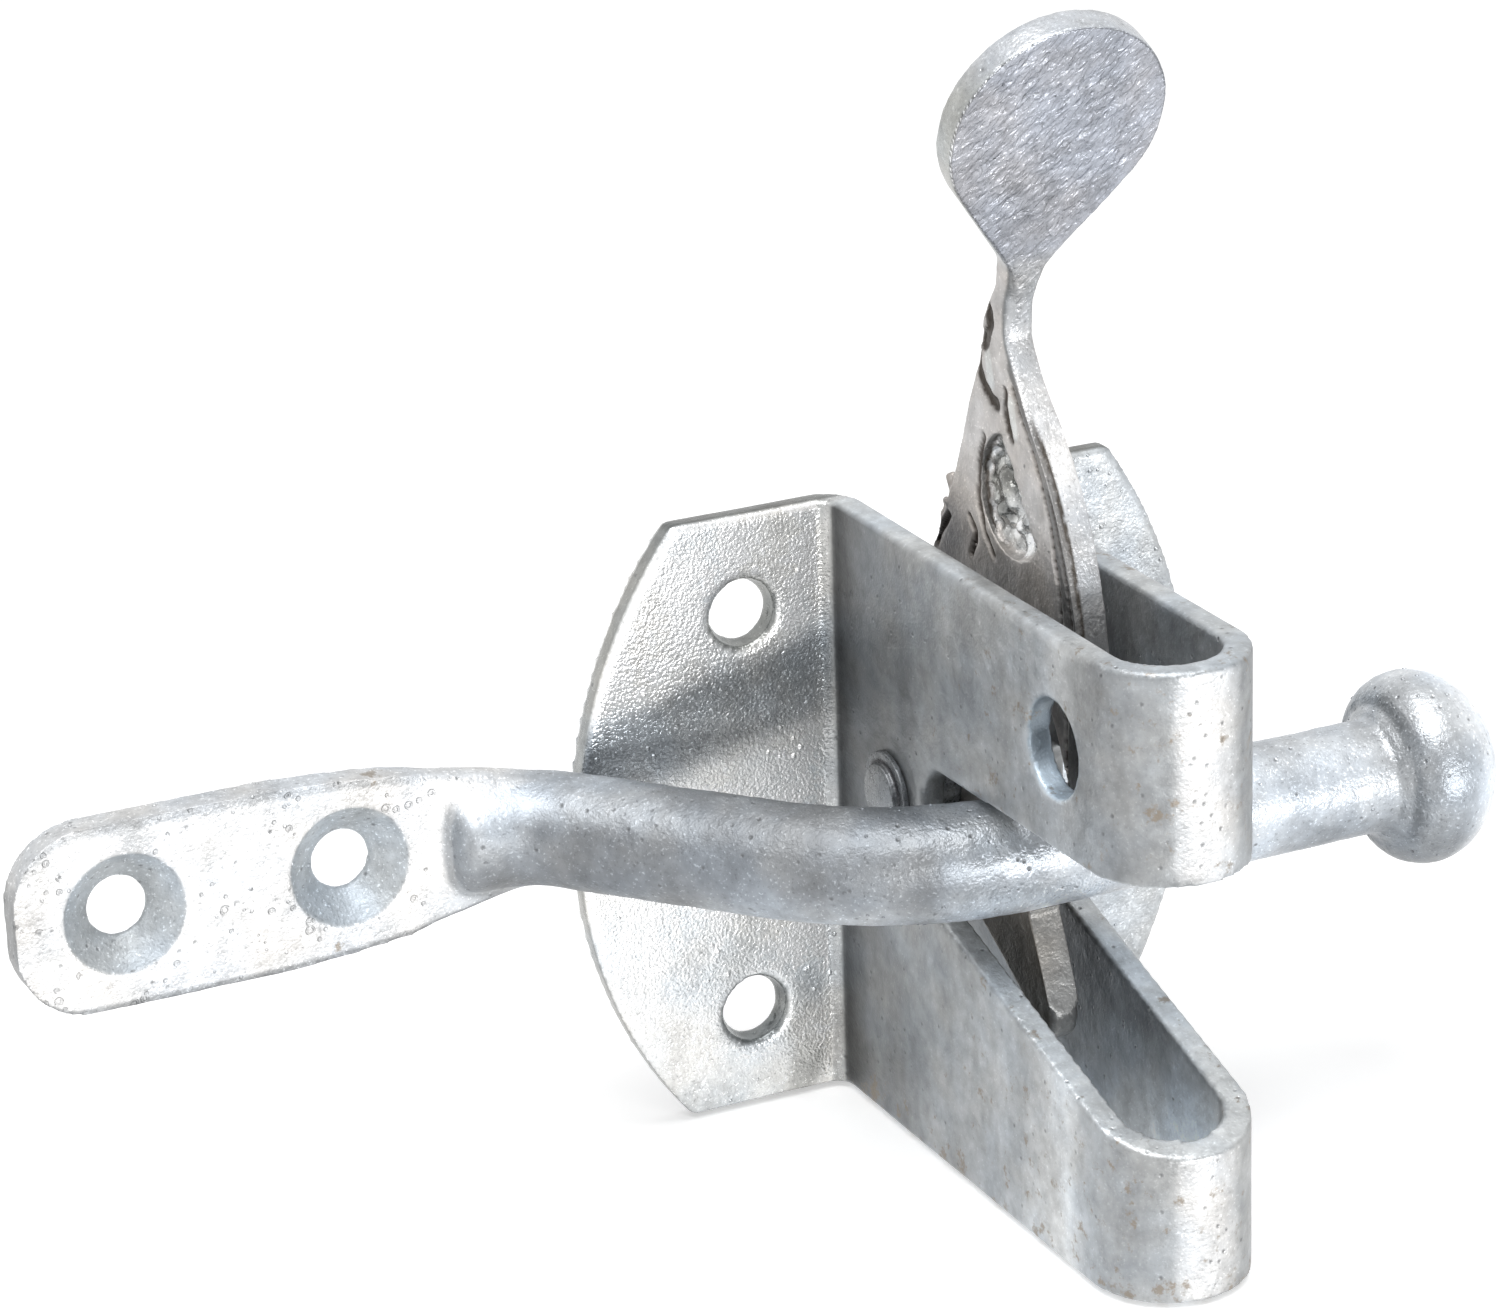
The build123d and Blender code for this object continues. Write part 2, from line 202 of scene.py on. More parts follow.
def zinc_finish(name, wrinkled=False):
    """Zinc that takes its tone, roughness, grain, pits and rust from what is painted on each piece."""
    finish = bpy.data.materials.new(name)
    finish.use_nodes = True
    tree = finish.node_tree
    shader = tree.nodes["Principled BSDF"]
    place = add(tree, "ShaderNodeTexCoord").outputs["Object"]
    tint = add(tree, "ShaderNodeAttribute", attribute_name="tint").outputs["Color"]
    painted = add(tree, "ShaderNodeAttribute", attribute_name="skin").outputs
    skin = add(tree, "ShaderNodeSeparateColor", {0: painted["Color"]}).outputs
    upright = vectors(tree, "MULTIPLY", place, (1.0, 1.0, 0.5))
    cloud = noise(tree, upright, 160.0, 6.0, Roughness=0.6)
    fine = noise(tree, place, 2800.0, 2.0)
    speckle = noise(tree, place, 700.0, 3.0, Roughness=0.7)
    patch = maths(tree, "MULTIPLY_ADD", speckle, 0.5, maths(tree, "MULTIPLY", cloud, 0.75))
    mottle = ramp(tree, patch, 0.4, 0.85, 0.70, 1.30)
    warmth = ramp(tree, noise(tree, place, 110.0, 4.0), 0.38, 0.62)
    cast = mixed(tree, warmth, (0.97, 1.0, 1.035, 1), (1.018, 1.0, 0.978, 1))
    toned = scaled(tree, vectors(tree, "MULTIPLY", tint, cast), mottle)
    dents = noise(tree, place, 380.0, 3.0)
    shade_depth = maths(tree, "MULTIPLY_ADD", skin[1], -0.7, 0.8)
    shade = maths(tree, "MULTIPLY", maths(tree, "SUBTRACT", dents, 0.5), shade_depth)
    toned = scaled(tree, toned, maths(tree, "ADD", shade, 1.0))
    # Sparse bright specks lifted in the colour are painted glints; sparse dark specks darken it.
    spark = ramp(tree, fine, 0.62, 0.72, to_high=0.9)
    dull = ramp(tree, fine, 0.36, 0.28, to_high=0.3)
    glint = maths(tree, "MULTIPLY_ADD", maths(tree, "SUBTRACT", spark, dull), skin[1], 1.0)
    toned = vectors(tree, "MINIMUM", scaled(tree, toned, glint), (0.97, 0.97, 0.97))
    pit = add(tree, "ShaderNodeTexVoronoi", {"Vector": place, "Scale": 750.0})
    pit_pick = add(tree, "ShaderNodeSeparateColor", {0: pit.outputs["Color"]}).outputs
    blown = ramp(tree, skin[2], 0.5, 0.6)
    pit_size = maths(tree, "MULTIPLY_ADD", maths(tree, "POWER", pit_pick[0], 3.0), 0.28, 0.08)
    pit_size = maths(tree, "MULTIPLY", pit_size, blown)
    from_ring = maths(tree, "ABSOLUTE", maths(tree, "SUBTRACT", pit.outputs["Distance"], pit_size))
    ring_edge = maths(tree, "MULTIPLY_ADD", blown, -0.09, 0.22)
    ring = ramp(tree, from_ring, ring_edge, 0.04)
    pitted = maths(tree, "MULTIPLY", ring, maths(tree, "LESS_THAN", pit_pick[1], skin[2]))
    spot = maths(tree, "MULTIPLY", pitted, maths(tree, "MULTIPLY_ADD", blown, -0.5, 0.75))
    spotted = mixed(tree, spot, toned, (0.14, 0.145, 0.15, 1))
    scab = noise(tree, place, 420.0, 4.0, Roughness=0.7)
    spread = maths(tree, "SUBTRACT", scab, maths(tree, "MULTIPLY_ADD", painted["Alpha"], -0.35, 0.75))
    rust = maths(tree, "MULTIPLY", maths(tree, "DIVIDE", spread, 0.08, clamp=True), 0.75)
    colour = mixed(tree, rust, spotted, (0.25, 0.205, 0.155, 1))
    rough = maths(tree, "MULTIPLY_ADD", maths(tree, "SUBTRACT", fine, 0.5), 0.3, skin[0], clamp=True)
    relief = maths(tree, "MULTIPLY", fine, maths(tree, "MULTIPLY", skin[1], 0.7))
    soft = maths(tree, "MULTIPLY", speckle, maths(tree, "MULTIPLY_ADD", skin[1], -0.5, 0.7))
    dent_depth = maths(tree, "SUBTRACT", 1.3, maths(tree, "MULTIPLY", skin[1], 1.4))
    soft = maths(tree, "MULTIPLY_ADD", dents, dent_depth, soft)
    relief = maths(tree, "MULTIPLY_ADD", pitted, -0.8, maths(tree, "ADD", soft, relief))
    if wrinkled:
        across = add(tree, "ShaderNodeVectorRotate",
                     {"Vector": place, "Axis": paddle_facing, "Angle": -0.95}).outputs[0]
        crease = noise(tree, vectors(tree, "MULTIPLY", across, (650.0, 0.0, 1750.0)), 1.0, 2.0, Distortion=0.7)
        struck = add(tree, "ShaderNodeAttribute", attribute_name="struck").outputs["Fac"]
        relief = maths(tree, "MULTIPLY_ADD", maths(tree, "MULTIPLY", crease, struck), 4.0, relief)
    bump = add(tree, "ShaderNodeBump", {"Height": relief, "Strength": 1.0, "Distance": 0.00014}).outputs[0]
    tree.links.new(colour, shader.inputs["Base Color"])
    tree.links.new(rough, shader.inputs["Roughness"])
    tree.links.new(bump, shader.inputs["Normal"])
    shader.inputs["Metallic"].default_value = 0.65
    return finish


def fade(value, start, end):
    """0 before start, 1 past end and a smooth step between."""
    share = np.clip((value - start) / (end - start), 0.0, 1.0)
    return share * share * (3.0 - 2.0 * share)


def blend(under, mask, over):
    """One painted value laid over another where the mask says so."""
    mask = np.asarray(mask, float)
    if np.ndim(under) == 2:
        mask = mask[:, None]
    return under + (np.asarray(over) - under) * mask


def hued(tone, hue):
    """A grey tone at each point, as a colour."""
    return tone[:, None] * np.array(hue)


def points(piece):
    """X, depth, height and outward direction of each point of a piece, in millimetres."""
    count = len(piece.data.vertices)
    place = np.empty(count * 3, np.float32)
    outward = np.empty(count * 3, np.float32)
    piece.data.vertices.foreach_get("co", place)
    piece.data.vertices.foreach_get("normal", outward)
    place = place.reshape(-1, 3) * 1000.0
    return place[:, 0], -place[:, 1], place[:, 2], outward.reshape(-1, 3)


def ease(piece, share, rounds):
    """Smooth a piece by its own share at each point, so that no step shows where the smoothing ends."""
    count = len(piece.data.vertices)
    ends = np.empty(len(piece.data.edges) * 2, np.int32)
    piece.data.edges.foreach_get("vertices", ends)
    first, second = ends.reshape(-1, 2).T
    near = np.maximum(np.bincount(first, minlength=count) + np.bincount(second, minlength=count), 1)
    place = np.empty(count * 3, np.float32)
    piece.data.vertices.foreach_get("co", place)
    place = place.reshape(-1, 3).astype(float)
    for _ in range(rounds):
        for axis in range(3):
            line = place[:, axis]
            mean = (np.bincount(first, line[second], count) + np.bincount(second, line[first], count)) / near
            place[:, axis] = line + share * (mean - line)
    piece.data.vertices.foreach_set("co", place.ravel())
    piece.data.update()


def waves(across, along, pitch, seed):
    """A smooth random pattern, about -1 to 1, made of a few waves about one pitch long."""
    draw = np.random.default_rng(seed)
    total = 0.0
    for _ in range(7):
        turn = draw.uniform(0, math.pi)
        length = pitch * draw.uniform(0.7, 1.5)
        way = across * math.cos(turn) + along * math.sin(turn)
        total = total + np.sin(way * 2 * math.pi / length + draw.uniform(0, 6.3))
    return total / 3.0


def paint(piece, tint, rough, grain, pits, rust=0.0):
    """Store a piece's tone, roughness, grain, pits and rust on its points."""
    count = len(piece.data.vertices)
    tone = np.ones((count, 4), np.float32)
    tone[:, :3] = tint
    skin = np.empty((count, 4), np.float32)
    for channel, values in enumerate((rough, grain, pits, rust)):
        skin[:, channel] = values
    for name, values in (("tint", tone), ("skin", skin)):
        layer = piece.data.attributes.new(name, "FLOAT_COLOR", "POINT")
        layer.data.foreach_set("color", values.ravel())


zinc_skin = zinc_skin_tree()
strap_zinc = zinc_finish("strap_zinc")
chance = np.random.default_rng(5)
collars = []
for across, along in ((-screw_across, -screw_up), (-screw_across, screw_up),
                      (screw_across, -screw_up), (screw_across, screw_up)):
    for turn in np.arange(0.0, 2 * math.pi, math.pi / 16):
        for reach, level, radius in ((4.3, 2.55, 0.6), (4.1 + chance.normal(0, 0.06), 1.0, 0.85)):
            collars.append((across + reach * math.cos(turn), level, along + reach * math.sin(turn), radius))
latch_body = dipped("latch_body", "latch_body_zinc", 0.00054, 2, strap_zinc, lumps=collars,
                    **{"Lump Size": 0.010, "Lump Height": 0.00014, "Grain Size": 0.0014, "Grain Height": 0.00003,
                       "Bead Radius": 0.0004, "Bead Density": 120000.0, "Bead Front": 1.0, "Seed": 1.0})
x, depth, z, outward = points(latch_body)
# The wall's tone is painted shade and reflection: darkest by the fold, lightening towards the padlock hole, darker
# again beside the nose and lighter low down. A random mottle and a darker arc over the pivot lie on top.
wall_tone = np.interp(depth, [3.4, 6.0, 10.0, 25.0, 45.0, 55.0, 62.0, 69.3],
                      [0.07, 0.10, 0.18, 0.31, 0.41, 0.50, 0.30, 0.33])
wall_tone = wall_tone * (1.0 + 0.15 * fade(z, -6.0, -16.0)) * (1.0 + 0.06 * waves(depth, 0.4 * z, 9.0, 11))
from_pivot = np.hypot(depth - pivot_depth, z - pivot_height)
wall_tone = wall_tone * (1.0 - 0.2 * fade(np.abs(from_pivot - 6.4), 0.8, 0.2) * fade(z, pivot_height, 8.0))
tint = hued(wall_tone, (0.965, 1.0, 1.025))
flange = fade(depth, 4.3, 3.3)
inside = fade(np.abs(x), 7.4, 6.6) * fade(depth, 62.5, 60.5)
rim = fade(np.abs(outward[:, 2]), 0.45, 0.85)
# Inside the U: painted shade, lightened low down and towards the nose as painted light.
inside_tone = np.interp(z, [-35.0, -27.0, -14.0, 0.0, 35.0], [1.0, 0.72, 0.26, 0.22, 0.36])
inner_light = np.interp(depth, [25.0, 42.0, 55.0, 64.0], [-0.3, -0.1, 0.5, 0.9])
inside_tone = np.minimum(inside_tone * (1.0 + fade(z, 0.0, -8.0) * inner_light), 1.0)
tint = blend(tint, inside, hued(inside_tone, (0.94, 1.0, 1.05)))
# Cut edges facing up or down get their own lighter grey, raised low down as painted light where the bar shades the
# lower jaw's edge.
rim_tone = np.interp(z, [-20.0, 0.0, 30.0], [0.60, 0.60, 0.53])
tint = blend(tint, rim * (1.0 - flange), hued(rim_tone, (0.955, 1.0, 1.03)))
from_padlock = np.hypot(depth - padlock_depth, z - padlock_height)
# The padlock hole's wall: painted light at its bottom, painted shade higher up.
hole_tone = np.interp(z, [17.5, 20.5, 27.5], [0.60, 0.36, 0.28])
tint = blend(tint, fade(from_padlock, 5.6, 5.3), hued(hole_tone, (0.87, 1.0, 1.11)))
# A painted highlight down the front of the nose.
painted_nose_highlight = fade(outward @ np.array((0.035, -0.999, 0.0)), 0.86, 1.0) * fade(depth, 64.0, 67.0)
tint = blend(tint, painted_nose_highlight, (0.66, 0.665, 0.67))
edge = fade(np.abs(depth - 1.6), 1.25, 1.0)
tint = blend(tint, flange, (0.95, 0.955, 0.95))
# Grey clouds on the left flange: a random mottle that thickens towards the fold as a painted reflection of the wall,
# with grey along the bottom edge.
cloud_and_fold_reflection = fade(waves(x, z, 11.0, 21), 0.1, 1.0) * np.interp(x, [-28.0, -15.0], [0.0, 0.6])
cloud_and_fold_reflection = cloud_and_fold_reflection + 0.5 * fade(z, -28.0, -33.0)
tint = blend(tint, flange * np.clip(cloud_and_fold_reflection, 0.0, 1.0), (0.58, 0.59, 0.58))
# The right flange is given a darker, bluer tone: painted shade that tones down the lamp light falling on it.
tint = blend(tint, flange * fade(x, 0.0, 9.0), (0.53, 0.555, 0.575))
# In the bend from flange to wall: painted shade, and along the start of the bend a thin painted highlight.
tint = blend(tint, flange * fade(np.abs(x), 10.5, 10.1), (0.42, 0.425, 0.42))
tint = blend(tint, flange * fade(np.abs(np.abs(x) - 10.8), 0.4, 0.2), (0.97, 0.97, 0.95))
# A dark blue-grey band across the left flange above the bar: a painted reflection of the bar.
bar_reflection_height = np.interp(x, [-38.5, -25.5, -10.0], [8.5, 12.0, 15.5])
bar_reflection_band = flange * fade(x, 9.0, 0.0) * fade(np.abs(z - bar_reflection_height), 7.0, 3.0)
tint = blend(tint, 0.75 * bar_reflection_band, (0.20, 0.22, 0.235))
tint = blend(tint, flange * edge, (0.34, 0.345, 0.335))
# Flange edges that look upwards are darker still: painted shade.
tint = blend(tint, flange * edge * fade(outward[:, 2], 0.5, 0.8), (0.17, 0.175, 0.17))
plate_back = fade(outward[:, 1], 0.4, 0.8) * fade(depth, 2.0, 0.6)
tint = blend(tint, plate_back, (0.42, 0.43, 0.435))
# The screw holes' walls and rounded rims are grey: painted shade in the holes, which also dulls the highlight on their
# rims.
from_screw = np.hypot(np.abs(x) - screw_across, np.abs(z) - screw_up)
tint = blend(tint, fade(from_screw, 4.35, 4.1), (0.27, 0.28, 0.275))
rough = blend(blend(np.full(len(x), 0.42), flange, 0.22), flange * fade(x, 0.0, 9.0), 0.36)
grain = blend(np.full(len(x), 0.22), np.maximum(flange * (1.0 - edge), 0.7 * painted_nose_highlight), 0.9)
rough = blend(rough, plate_back, 0.42)
grain = blend(grain, np.maximum(flange * fade(x, 0.0, 9.0), plate_back), 0.4)
pits = blend(np.full(len(x), 0.26), flange, 0.06)
rust = np.maximum(0.42 * fade(depth, 15.0, 40.0), 0.6 * fade(z, -26.0, -34.0))
paint(latch_body, tint, rough, grain, pits, blend(rust, np.maximum(flange, inside), 0.0))
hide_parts("latch_body")
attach(latch_body, "latch")

# Pivot rivet
# A plain steel rivet, closed over both walls before the bath.
# Each head is a collar with a slightly domed button on it.
rivet_zinc = zinc_finish("rivet_zinc")
pivot_rivet = dipped("pivot_rivet", "pivot_rivet_zinc", 0.00016, 1, rivet_zinc,
                     **{"Lump Size": 0.004, "Lump Height": 0.00006, "Grain Size": 0.001, "Grain Height": 0.00003,
                        "Bead Radius": 0.0002, "Bead Density": 0.0, "Bead Front": 0.0, "Seed": 2.0})
x, depth, z, outward = points(pivot_rivet)
from_axis = np.hypot(depth - pivot_depth, z - pivot_height)
tint = np.tile((0.18, 0.19, 0.20), (len(x), 1))
tint = blend(tint, fade(from_axis, 3.7, 3.4), (0.23, 0.24, 0.25))
# A dark ring round the lighter middle of each head: painted shade in the step between button and collar.
tint = blend(tint, fade(np.abs(from_axis - 3.7), 0.35, 0.1), (0.07, 0.07, 0.075))
paint(pivot_rivet, tint, 0.3, 0.2, 0.02)
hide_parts("pivot_rivet")
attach(pivot_rivet, "latch")

# Thumb lever
# Cut from 4 mm plate, its neck forged from edge-on to face-on and its end to a paddle, then dipped.
# The paddle's face is hammered, and the skin on the blade's left side is cracked and flaking.
hole_depth, hole_height = 31.9, 42.3
lever_zinc = zinc_finish("lever_zinc", wrinkled=True)
chance = np.random.default_rng(7)
clot = []
for step_up in np.arange(-6.0, 6.1, 1.2):
    for step_on in np.arange(-6.0, 6.1, 1.2):
        within = math.hypot(step_on, step_up) < 6.8
        if within and step_on < 2.6 - 0.68 * step_up and math.hypot(step_on - 0.2, step_up - 0.9) > 2.5:
            hollow = 0.6 * math.exp(-((step_on + 0.5) / 1.6) ** 2)
            clot.append((0.2 + hollow + chance.normal(0, 0.35), hole_depth + step_on + chance.normal(0, 0.3),
                         hole_height + step_up + chance.normal(0, 0.3), chance.uniform(0.8, 1.5)))
for step_up in np.arange(-6.4, 6.5, 0.8):
    for step_on in np.arange(-6.4, 6.5, 0.8):
        if math.hypot(step_on, step_up) < 6.8 and step_on > 2.2 - 0.68 * step_up:
            clot.append((-0.45, hole_depth + step_on, hole_height + step_up, 1.5))
heel = [(-0.5, 17.6, 39.2, 1.3), (-0.6, 15.9, 35.4, 1.3), (-0.3, 14.9, 33.0, 1.2), (0.4, 16.4, 37.0, 1.2)]
heel += [(cx + chance.normal(0, 0.6), cy + chance.normal(0, 0.7), cz + chance.normal(0, 0.8),
          chance.uniform(0.4, 0.7)) for cx, cy, cz, _ in heel for _ in range(5)]
thumb_lever = dipped("thumb_lever", "thumb_lever_zinc", 0.00027, 2, lever_zinc, lumps=clot + heel,
                     **{"Lump Size": 0.005, "Lump Height": 0.0002, "Grain Size": 0.0014, "Grain Height": 0.00008,
                        "Bead Radius": 0.00022, "Bead Density": 15000.0, "Bead Front": 0.0, "Seed": 3.0,
                        "Hammer Depth": 0.0009, "Hammer Length": 0.0022, "Hammer Width": 0.0008,
                        "Hammer Turn": -0.75, "Hammer From": 0.060, "Hammer Facing": paddle_facing})


def off_path(across, along, path):
    """How far each point lies from a path of straight steps."""
    nearest = np.full(len(across), 1e9)
    for (x0, y0), (x1, y1) in zip(path[:-1], path[1:]):
        span = (x1 - x0) ** 2 + (y1 - y0) ** 2
        share = np.clip(((across - x0) * (x1 - x0) + (along - y0) * (y1 - y0)) / span, 0.0, 1.0)
        nearest = np.minimum(nearest, np.hypot(across - x0 - share * (x1 - x0), along - y0 - share * (y1 - y0)))
    return nearest


cracks = (
    (0.85, 0.6, ((26.4, 62.0), (27.4, 60.2), (27.0, 58.8), (25.9, 57.6))),
    (0.70, 0.5, ((25.0, 56.2), (25.2, 54.3), (26.2, 52.8), (27.4, 51.9), (28.7, 51.5))),
    (0.55, 0.5, ((30.6, 53.4), (30.9, 51.3), (31.7, 48.6))),
    (0.40, 0.4, ((22.6, 37.4), (23.8, 36.2), (23.6, 35.0), (22.8, 33.3))),
    (0.35, 0.6, ((14.9, 32.4), (16.2, 34.2), (17.9, 36.3))),
    (0.45, 0.35, ((25.9, 47.2), (24.6, 43.6), (24.6, 40.0), (25.8, 36.6), (27.8, 34.5))),
)
x, depth, z, outward = points(thumb_lever)
ease(thumb_lever, 0.5 * fade(z, 50.0, 56.0) * fade(z, 73.0, 68.0), 40)
up_paddle = -paddle_facing[2] * depth - paddle_facing[1] * z
top = up_paddle.max()
rows = np.arange(top - 30.0, top, 0.5)
outline = np.interp(up_paddle, rows, [np.abs(x[np.abs(up_paddle - row) < 0.5]).max() for row in rows])
from_rim = np.minimum(outline - np.abs(x), top - up_paddle)
ease(thumb_lever, 0.5 * fade(z, 66.0, 70.0) * fade(from_rim, 3.0, 1.2), 22)
x, depth, z, outward = points(thumb_lever)
left_face = fade(-outward[:, 0], 0.3, 0.7) * fade(-x, 0.8, 1.4)
levels = np.arange(26.0, 58.0, 2.0)
front_edge = np.interp(z, levels, [depth[(np.abs(z - level) < 0.6) & (x < -0.9)].max() for level in levels])
lip_width = np.interp(z, [30.0, 36.0, 42.0, 48.0, 54.0], [3.2, 2.8, 2.2, 1.9, 1.6])
ragged = 0.18 * np.sin(1.3 * z + 0.9 * depth) + 0.12 * np.sin(3.1 * z - 1.7 * depth)
cut = 0.6 * fade(np.abs(front_edge - depth - lip_width + 0.3 * ragged), 0.42, 0.15) * fade(z, 55.0, 53.5)
cut = np.maximum(cut, 0.4 * fade(np.abs(front_edge - depth - 0.9), 0.3, 0.1) * fade(z, 46.0, 44.0))
for half_width, deep, path in cracks:
    wander = off_path(depth, z, path) + half_width * ragged
    cut = np.maximum(cut, deep * fade(wander, half_width * 1.6, half_width * 0.3))
cut = cut * left_face
moved = np.column_stack([x + cut, -depth, z]) / 1000.0
thumb_lever.data.vertices.foreach_set("co", moved.ravel())
thumb_lever.data.update()
paddle = fade(z, 66.0, 70.0)
front = fade(-outward[:, 1], 0.4, 0.8)
below = fade(z, 8.0, 2.0)
tint = np.tile((0.50, 0.475, 0.455), (len(x), 1))
tint = blend(tint, fade(depth, 26.0, 15.0) * fade(z, 44.0, 36.0), (0.26, 0.24, 0.23))
lip = left_face * fade(front_edge - depth, lip_width, lip_width - 0.4) * fade(z, 64.0, 56.0)
tint = blend(tint, lip, (0.20, 0.195, 0.19))
for flake in (((27.2, 56.6), (27.9, 53.6)), ((32.2, 52.6), (32.9, 49.4))):
    tint = blend(tint, left_face * fade(off_path(depth, z, flake), 0.9, 0.5), (0.62, 0.62, 0.60))
# The neck's faces that look left and forward: painted shade.
neck_corner_shade = fade(-outward[:, 0], 0.2, 0.5) * fade(-outward[:, 1], 0.2, 0.5) * fade(z, 54.0, 58.0)
tint = blend(tint, neck_corner_shade, (0.16, 0.165, 0.165))
# The blade's front edge, by height: painted shade low down between the walls and a painted highlight around 46 to 52
# mm up.
front_strip_light_and_shade = np.interp(z, [28.0, 34.0, 40.0, 46.0, 52.0, 58.0, 66.0], [0.25, 0.33, 0.48, 0.76, 0.72, 0.46, 0.42])
tint = blend(tint, front, hued(front_strip_light_and_shade, (0.99, 1.0, 1.015)))
tint = blend(tint, front * fade(x, -0.95, -1.2) * fade(z, 54.0, 50.0), (0.21, 0.205, 0.20))
seam = front * fade(np.abs(x + 1.05 - 0.4 * ragged), 0.3, 0.12) * fade(z, 52.0, 49.0)
tint = blend(tint, seam, (0.07, 0.06, 0.05))
tint = blend(tint, paddle, (0.38, 0.39, 0.425))
struck = outward @ np.array(paddle_facing)
tint = blend(tint, paddle * fade(struck, 0.6, 0.3), (0.42, 0.43, 0.42))
rim_shadow = paddle * fade(np.abs(struck - 0.6), 0.15, 0.05) * fade(-outward[:, 0], 0.2, 0.5)
tint = blend(tint, rim_shadow, (0.16, 0.165, 0.16))
# Paddle faces that look upwards are lighter: painted light.
tint = blend(tint, paddle * fade(outward[:, 2], 0.3, 0.7), (0.54, 0.55, 0.565))
rim_light = paddle * fade(np.abs(struck - 0.82), 0.12, 0.03) * fade(outward[:, 2] - outward[:, 0], -0.35, 0.1)
tint = blend(tint, rim_light, (0.80, 0.81, 0.83))
in_hole = fade(np.hypot(depth - hole_depth, z - hole_height), 6.6, 6.2) * fade(x, -1.7, -1.4)
splash = blend(np.tile((0.32, 0.325, 0.315), (len(x), 1)), fade(depth - 0.6 * z, 4.5, 7.5), (0.82, 0.82, 0.80))
splash = np.minimum(splash * np.clip(1.0 + 0.6 * waves(depth, z, 2.2, 51), 0.35, 1.7)[:, None], 0.95)
tint = blend(tint, in_hole, splash)
# Low down, within the body: painted shade on the blade and its front edge.
tint = blend(tint, below, (0.20, 0.185, 0.165))
tint = blend(tint, below * front, (0.24, 0.235, 0.225))
tint = blend(tint, fade(cut, 0.08, 0.3), (0.06, 0.05, 0.042))
rough = blend(blend(np.full(len(x), 0.36), paddle, 0.3), in_hole, 0.16)
grain = blend(np.full(len(x), 0.4), np.maximum(in_hole, front * fade(z, 26.0, 46.0)), 1.0)
grain = blend(grain, paddle * fade(struck, 0.6, 0.3), 0.5)
grain = blend(grain, paddle * fade(struck, 0.8, 0.95), 0.15)
paint(thumb_lever, tint, rough, grain, 0.04)
layer = thumb_lever.data.attributes.new("struck", "FLOAT", "POINT")
layer.data.foreach_set("value", (fade(z, 60.0, 66.0) * fade(struck, 0.8, 0.95)).astype(np.float32))
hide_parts("thumb_lever")
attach(thumb_lever, "lever")

# Striker bar
# One forging: a round bar upset into a ball at one end and hammered to a flat palm at the other.
# It is cranked hot, drilled and countersunk, and dipped.
bar_zinc = zinc_finish("bar_zinc")
drops = ((42.6, 42.9, 5.4, 0.55), (39.8, 41.7, 0.2, 0.65), (35.0, 42.6, 2.0, 0.4))
striker_bar = dipped("striker_bar", "striker_bar_zinc", 0.00036, 2, bar_zinc, lumps=drops,
                     **{"Lump Size": 0.006, "Lump Height": 0.0003, "Grain Size": 0.0014, "Grain Height": 0.0002,
                        "Bead Radius": 0.0003, "Bead Density": 110000.0, "Bead Front": 0.0, "Seed": 4.0})
x, depth, z, outward = points(striker_bar)
ease(striker_bar, 0.5 * fade(x, -62.0, -58.0) * fade(x, -44.0, -48.0), 40)
x, depth, z, outward = points(striker_bar)
# Tone along the bar is painted light and shade: dark along its left part, light below the nose and lightest on the
# ball's right side.
bar_tone = np.interp(x, [-60.0, -54.0, -46.0, -30.0, -16.0, -9.0, -4.0, 10.0, 20.0, 35.0, 40.0, 45.0, 49.0, 54.0],
                     [0.42, 0.30, 0.24, 0.25, 0.22, 0.37, 0.50, 0.60, 0.62, 0.58, 0.42, 0.36, 0.74, 0.92])
# Undersides: painted shade near the palm and towards the ball, painted light in between.
below = np.interp(x, [-58.0, -48.0, -36.0, -28.0, -15.0, 0.0, 20.0, 32.0, 46.0],
                  [-0.2, -0.2, 0.3, 0.9, 0.8, 0.5, 0.0, -0.5, -0.25]) * fade(-outward[:, 2], 0.0, 0.7)
# Faces that look up, on the left part and at the ball: painted highlight.
above = fade(outward[:, 2], 0.3, 0.8) * (1.0 * fade(x, -30.0, -52.0) + 0.5 * fade(x, 38.0, 44.0))
bar_tone = bar_tone * (1.0 + below + above) * (1.0 + 0.08 * waves(x, z + depth, 8.0, 31))
tint = hued(np.minimum(bar_tone, 0.95), (0.945, 1.0, 1.06))
palm = fade(x, -46.0, -50.0) * fade(depth, 9.2, 8.5)
palm_face = palm * fade(-outward[:, 1], 0.75, 0.95)
tint = blend(tint, palm, (0.60, 0.61, 0.62))
# The palm's end and lower sides, away from its top: painted shade.
tint = blend(tint, palm * fade(outward[:, 2], 0.5, 0.2), (0.36, 0.37, 0.38))
tint = blend(tint, palm_face, (0.70, 0.70, 0.70))
stations = np.arange(-105.0, -49.0, 1.0)
upper = np.interp(x, stations, [z[(np.abs(x - at) < 0.7) & (palm > 0.5)].max() for at in stations])
# A grey band on the face along its top edge: painted reflection on the rounded edge.
palm_rim_reflection = palm_face * fade(upper - z, 1.5, 0.8) * fade(x, -56.0, -62.0)
tint = blend(tint, palm_rim_reflection, (0.44, 0.45, 0.46))
# A dark band along the palm's lower edge: painted shade.
lower = np.interp(x, stations, [z[(np.abs(x - at) < 0.7) & (palm > 0.5)].min() for at in stations])
tint = blend(tint, palm * fade(z - lower, 0.9, 0.4), (0.27, 0.275, 0.28))
smudge = palm_face * fade(waves(x, z, 7.0, 41), 0.5, 1.2)
tint = blend(tint, 0.35 * smudge, (0.40, 0.40, 0.39))
palm_screw_height = 5.7
